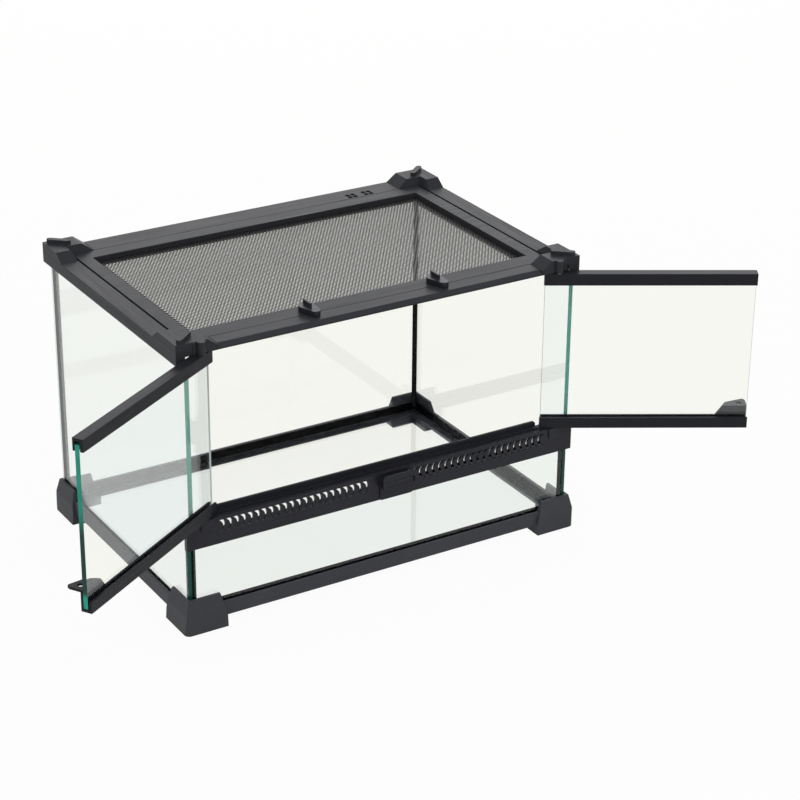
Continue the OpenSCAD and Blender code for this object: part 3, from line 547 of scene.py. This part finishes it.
def rounded_moulding(node, width, material, edge_faces=EDGE_FACES, shortest=0.0):
    """Makes a moulding with the CAD node's shape and rounded edges, which stands for that node.

    Its flat faces stay divided at their holes, so that each is drawn with its holes open,
    and edges below the shortest length stay sharp.
    """
    shape = bmesh.new()
    shape.from_mesh(frame["nodes"][node].data)
    bmesh.ops.remove_doubles(shape, verts=shape.verts, dist=SAME_POINT)
    for x in hole_places(shape):
        everything = shape.verts[:] + shape.edges[:] + shape.faces[:]
        cut = bmesh.ops.bisect_plane(
            shape, geom=everything, dist=ON_CUT, plane_co=(x, 0, 0), plane_no=(1, 0, 0))
        for item in cut["geom_cut"]:
            if isinstance(item, bmesh.types.BMEdge):
                item.seam = True
    bmesh.ops.dissolve_limit(
        shape, angle_limit=FLAT, verts=shape.verts, edges=shape.edges, delimit={"SEAM"})
    weight = shape.edges.layers.float.new("bevel_weight_edge")
    for edge in shape.edges:
        turn = edge.calc_face_angle(0) if len(edge.link_faces) == 2 else math.pi
        edge.smooth = turn < SMOOTH
        edge[weight] = 1.0 if turn > SHARP and edge.calc_length() > shortest else 0.0
    for face in shape.faces:
        face.smooth = True
    mesh = bpy.data.meshes.new(node + "_moulding")
    shape.to_mesh(mesh)
    shape.free()
    if "custom_normal" in mesh.attributes:
        mesh.attributes.remove(mesh.attributes["custom_normal"])
    piece = bpy.data.objects.new(node + "_moulding", mesh)
    bpy.context.scene.collection.objects.link(piece)
    mesh.materials.append(material)
    bevel = piece.modifiers.new("rounded edges", "BEVEL")
    bevel.width = width
    bevel.segments = edge_faces
    bevel.limit_method = "WEIGHT"
    bevel.harden_normals = True
    bevel.miter_outer = "MITER_ARC"
    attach(piece, BODY_OF[node])
    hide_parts(node)


def dress(node, material):
    """Gives a CAD node its material."""
    mesh = frame["nodes"][node].data
    if mesh.materials:
        for index in range(len(mesh.materials)):
            mesh.materials[index] = material
    else:
        mesh.materials.append(material)


def punched_sheet(name, low, high, pitch, row_step, hole):
    """A flat sheet with round holes in staggered rows along X, from low to high."""
    radius = hole / 2
    columns = int((high.x - low.x - pitch) / pitch)
    rows = int((high.y - low.y - row_step) / row_step)
    x0 = (low.x + high.x) / 2 - (columns - 0.5) * pitch / 2
    y0 = (low.y + high.y) / 2 - (rows - 1) * row_step / 2
    points = []
    index = {}
    faces = []

    def place(x, y):
        # cells share their corners, which are told apart to the micrometre
        key = (round(x * 1e6), round(y * 1e6))
        if key not in index:
            index[key] = len(points)
            points.append((x, y, low.z))
        return index[key]

    # each hole sits in a six-sided cell, which its neighbours share the sides of
    tip = (row_step ** 2 + pitch ** 2 / 4) / (2 * row_step)
    cell = [
        (pitch / 2, row_step - tip), (0, tip), (-pitch / 2, row_step - tip),
        (-pitch / 2, tip - row_step), (0, -tip), (pitch / 2, tip - row_step),
    ]
    rim = []
    for (x, y), following in zip(cell, cell[1:] + cell[:1]):
        rim.append((x, y))
        rim.append(((x + following[0]) / 2, (y + following[1]) / 2))
    # the hole has a corner for each corner and each middle of a side of its cell
    corners = len(rim)
    start = math.atan2(rim[0][1], rim[0][0])
    turns = [start + k * 2 * math.pi / corners for k in range(corners)]
    for row in range(rows):
        for column in range(columns):
            cx = x0 + (column + 0.5 * (row % 2)) * pitch
            cy = y0 + row * row_step
            outer = [place(cx + x, cy + y) for x, y in rim]
            inner = []
            for t in turns:
                inner.append(len(points))
                points.append((cx + radius * math.cos(t), cy + radius * math.sin(t), low.z))
            for k in range(corners):
                n = (k + 1) % corners
                faces.append((outer[k], outer[n], inner[n], inner[k]))
    mesh = bpy.data.meshes.new(name)
    mesh.from_pydata(points, [], faces)
    mesh.update()
    piece = bpy.data.objects.new(name, mesh)
    bpy.context.scene.collection.objects.link(piece)
    thick = piece.modifiers.new("sheet thickness", "SOLIDIFY")
    thick.thickness = high.z - low.z
    thick.offset = 1.0
    return piece


def area_lamp(name, width, depth, power, place, target):
    """A rectangular lamp of that size in metres and power in watts, which faces the target."""
    light = bpy.data.lights.new(name, "AREA")
    light.shape = "RECTANGLE"
    light.size = width
    light.size_y = depth
    light.energy = power
    lamp = bpy.data.objects.new(name, light)
    lamp.location = place
    lamp.rotation_euler = (Vector(target) - lamp.location).to_track_quat("-Z", "Y").to_euler()
    bpy.context.scene.collection.objects.link(lamp)
    return lamp


# ---- operators ----

class TERRARIUM_OT_feet(bpy.types.Operator):
    """Rounds and finishes the four corner feet"""
    bl_idname = "terrarium.feet"
    bl_label = "Corner feet"

    def execute(self, context):
        width = context.scene.terrarium_sizes.edge_round
        for end in ("front", "back"):
            for side in ("left", "right"):
                rounded_moulding(
                    f"foot_{end}_{side}", FOOT_ROUND * width, base_plastic(), LARGE_EDGE_FACES)
        return {"FINISHED"}


class TERRARIUM_OT_bottom_rails(bpy.types.Operator):
    """Rounds and finishes the four rails under the glass"""
    bl_idname = "terrarium.bottom_rails"
    bl_label = "Bottom rails"

    def execute(self, context):
        width = context.scene.terrarium_sizes.edge_round
        for side in ("front", "back", "left", "right"):
            turn = 90 if side in ("left", "right") else 0
            rounded_moulding(f"rail_bottom_{side}", width, base_plastic(turn))
        return {"FINISHED"}


class TERRARIUM_OT_glass(bpy.types.Operator):
    """Finishes the glass of the tank and the doors"""
    bl_idname = "terrarium.glass"
    bl_label = "Glass panels"

    def execute(self, context):
        colours = context.scene.terrarium_colours
        tint = tuple(c ** (1 / TINT_FACES) for c in colours.glass)
        edge = tuple(colours.glass_edge)
        inner_edge = tuple(colours.glass_edge_inner)
        across = {
            "glass_floor": (0, 0, 1),
            "glass_left": (1, 0, 0),
            "glass_right": (1, 0, 0),
            "glass_back": (0, 1, 0),
            "glass_front_low": (0, 1, 0),
        }
        for side, angle in DOOR_OPEN.items():
            turn = math.radians(-angle if side == "left" else angle)
            across[f"door_glass_{side}"] = (-math.sin(turn), math.cos(turn), 0)
        for node, direction in across.items():
            # the painted light and shade of the cut edges, by height, for the doors or the tank
            light = DOOR_EDGE_PAINTED_LIGHT if node.startswith("door") else TANK_EDGE_PAINTED_LIGHT
            dress(node, float_glass("float_" + node, tint, edge, inner_edge, direction, light))
        return {"FINISHED"}


class TERRARIUM_OT_silicone(bpy.types.Operator):
    """Finishes the sealant beads along the seams"""
    bl_idname = "terrarium.silicone"
    bl_label = "Silicone beads"

    def execute(self, context):
        colour = tuple(context.scene.terrarium_colours.silicone)
        # the sealant wets the glass, so the beads reach a hair into it and leave no air between
        shape = bmesh.new()
        shape.from_mesh(frame["nodes"]["silicone_beads"].data)
        bmesh.ops.remove_doubles(shape, verts=shape.verts, dist=SAME_POINT)
        shape.normal_update()
        for vert in shape.verts:
            vert.co += vert.normal * BEAD_REACH
        mesh = bpy.data.meshes.new("silicone_beads_wet")
        shape.to_mesh(mesh)
        shape.free()
        mesh.materials.append(finish("silicone_tooled", cured_silicone, colour))
        beads = bpy.data.objects.new("silicone_beads_wet", mesh)
        context.scene.collection.objects.link(beads)
        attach(beads, BODY_OF["silicone_beads"])
        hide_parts("silicone_beads")
        return {"FINISHED"}


class TERRARIUM_OT_vent_bar(bpy.types.Operator):
    """Rounds and finishes the slotted vent bar"""
    bl_idname = "terrarium.vent_bar"
    bl_label = "Vent bar"

    def execute(self, context):
        width = context.scene.terrarium_sizes.edge_round
        rounded_moulding("vent_bar", width, fittings_plastic(), shortest=VENT_SHORTEST)
        return {"FINISHED"}


class TERRARIUM_OT_top_frame(bpy.types.Operator):
    """Rounds and finishes the top frame with its raised corners"""
    bl_idname = "terrarium.top_frame"
    bl_label = "Top frame"

    def execute(self, context):
        width = context.scene.terrarium_sizes.edge_round
        for side in ("left", "right", "front", "back"):
            turn = 90 if side in ("left", "right") else 0
            rounded_moulding(f"frame_top_{side}", width, top_plastic(turn))
        return {"FINISHED"}


class TERRARIUM_OT_screen(bpy.types.Operator):
    """Makes the fine mesh and finishes the screen's frame"""
    bl_idname = "terrarium.screen"
    bl_label = "Screen top"

    def execute(self, context):
        sizes = context.scene.terrarium_sizes
        rounded_moulding("screen_frame", sizes.edge_round, top_plastic())
        rounded_moulding("screen_retainer", THIN_ROUND * sizes.edge_round, top_plastic())
        low, high = (Vector(corner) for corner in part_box("screen_mesh"))
        sheet = punched_sheet(
            "screen_mesh_fine", low, high, sizes.mesh_pitch, sizes.mesh_row, sizes.mesh_hole)
        colour = tuple(context.scene.terrarium_colours.mesh)
        sheet.data.materials.append(finish("steel_punched_powder_coated", coated_mesh, colour))
        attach(sheet, "screen")
        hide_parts("screen_mesh")
        return {"FINISHED"}


class TERRARIUM_OT_clips(bpy.types.Operator):
    """Rounds and finishes the two turn clips"""
    bl_idname = "terrarium.clips"
    bl_label = "Turn clips"

    def execute(self, context):
        width = context.scene.terrarium_sizes.edge_round
        for side in ("left", "right"):
            rounded_moulding(
                f"clip_{side}", CLIP_ROUND * width, fittings_plastic(), LARGE_EDGE_FACES)
        dress("clip_pins", finish("steel_drawn", drawn_steel))
        return {"FINISHED"}


class TERRARIUM_OT_door_rails(bpy.types.Operator):
    """Rounds and finishes the rails of both doors"""
    bl_idname = "terrarium.door_rails"
    bl_label = "Door rails"

    def execute(self, context):
        width = context.scene.terrarium_sizes.edge_round
        for side, angle in DOOR_OPEN.items():
            turn = -angle if side == "left" else angle
            for level in ("upper", "lower"):
                rounded_moulding(f"door_rail_{level}_{side}", width, door_plastic(side, turn))
            dress(f"hinge_pins_{side}", finish("steel_drawn", drawn_steel))
        return {"FINISHED"}


class TERRARIUM_OT_latch(bpy.types.Operator):
    """Rounds and finishes the slide latch"""
    bl_idname = "terrarium.latch"
    bl_label = "Slide latch"

    def execute(self, context):
        width = context.scene.terrarium_sizes.edge_round
        rounded_moulding("latch_slide", width, fittings_plastic())
        rounded_moulding("latch_keeper", THIN_ROUND * width, fittings_plastic())
        return {"FINISHED"}


class TERRARIUM_OT_stage(bpy.types.Operator):
    """Sets the floor, the soft light and the camera"""
    bl_idname = "terrarium.stage"
    bl_label = "Stage"

    def execute(self, context):
        scene = context.scene
        mesh = bpy.data.meshes.new("studio_floor")
        corners = [(-1, -1), (1, -1), (1, 1), (-1, 1)]
        mesh.from_pydata(
            [(x * FLOOR_HALF, y * FLOOR_HALF, 0) for x, y in corners], [], [(0, 1, 2, 3)])
        floor = bpy.data.objects.new("studio_floor", mesh)
        scene.collection.objects.link(floor)
        colour = tuple(scene.terrarium_colours.floor)
        mesh.materials.append(finish("paper_seamless", studio_paper, colour))

        world = bpy.data.worlds.new("studio")
        world.use_nodes = True
        tree = world.node_tree
        tree.nodes.clear()
        # the camera sees it as white as the floor, while it lights the cabinet more softly
        path = add_node(tree, "ShaderNodeLightPath")
        strength = add_node(
            tree, "ShaderNodeMapRange", {"To Min": SKY_LIGHT, "To Max": SKY_SEEN},
            {"Value": path.outputs["Is Camera Ray"]})
        sky = add_node(
            tree, "ShaderNodeBackground", {"Color": rgba(linear("#ffffff"))},
            {"Strength": strength.outputs["Result"]})
        add_node(tree, "ShaderNodeOutputWorld", links={"Surface": sky.outputs["Background"]})
        scene.world = world

        area_lamp("softbox", *SOFTBOX)
        # a wide panel behind the cabinet, which the top faces mirror as a soft sheen
        panel = area_lamp("back_panel", *BACK_PANEL)
        panel.visible_camera = False
        panel.visible_transmission = False

        yaw, pitch, roll = (math.radians(angle) for angle in CAMERA_ANGLES)
        ahead = Vector((
            math.sin(yaw) * math.cos(pitch), math.cos(yaw) * math.cos(pitch), math.sin(pitch)))
        level = Vector((math.cos(yaw), -math.sin(yaw), 0))
        upright = level.cross(ahead)
        right = level * math.cos(roll) + upright * math.sin(roll)
        up = upright * math.cos(roll) - level * math.sin(roll)
        lens = bpy.data.cameras.new("photo_camera")
        lens.sensor_width = CAMERA_SENSOR
        lens.lens = CAMERA_LENS
        camera = bpy.data.objects.new("photo_camera", lens)
        turn = Matrix((right, up, -ahead)).transposed()
        camera.matrix_world = Matrix.Translation(CAMERA_PLACE) @ turn.to_4x4()
        scene.collection.objects.link(camera)
        scene.camera = camera
        scene.view_settings.view_transform = "Standard"
        scene.cycles.transparent_max_bounces = CLEAR_FACES
        return {"FINISHED"}


STEPS = (
    TERRARIUM_OT_feet,
    TERRARIUM_OT_bottom_rails,
    TERRARIUM_OT_glass,
    TERRARIUM_OT_silicone,
    TERRARIUM_OT_vent_bar,
    TERRARIUM_OT_top_frame,
    TERRARIUM_OT_screen,
    TERRARIUM_OT_clips,
    TERRARIUM_OT_door_rails,
    TERRARIUM_OT_latch,
    TERRARIUM_OT_stage,
)


class TERRARIUM_PT_panel(bpy.types.Panel):
    """Lists the pieces of the cabinet"""
    bl_idname = "TERRARIUM_PT_panel"
    bl_label = "Terrarium cabinet"
    bl_space_type = "VIEW_3D"
    bl_region_type = "UI"
    bl_category = "Terrarium"

    def draw(self, context):
        for step in STEPS:
            self.layout.operator(step.bl_idname)
        for group in (context.scene.terrarium_sizes, context.scene.terrarium_colours):
            for name in group.bl_rna.properties.keys():
                if name not in ("name", "rna_type"):
                    self.layout.prop(group, name)


CLASSES = (TerrariumSizes, TerrariumColours) + STEPS + (TERRARIUM_PT_panel,)


def register():
    for item in CLASSES:
        bpy.utils.register_class(item)
    bpy.types.Scene.terrarium_sizes = PointerProperty(type=TerrariumSizes)
    bpy.types.Scene.terrarium_colours = PointerProperty(type=TerrariumColours)


def unregister():
    del bpy.types.Scene.terrarium_colours
    del bpy.types.Scene.terrarium_sizes
    for item in reversed(CLASSES):
        bpy.utils.unregister_class(item)


def main():
    register()
    for step in STEPS:
        group, name = step.bl_idname.split(".")
        getattr(getattr(bpy.ops, group), name)()


if __name__ == "__main__":
    main()
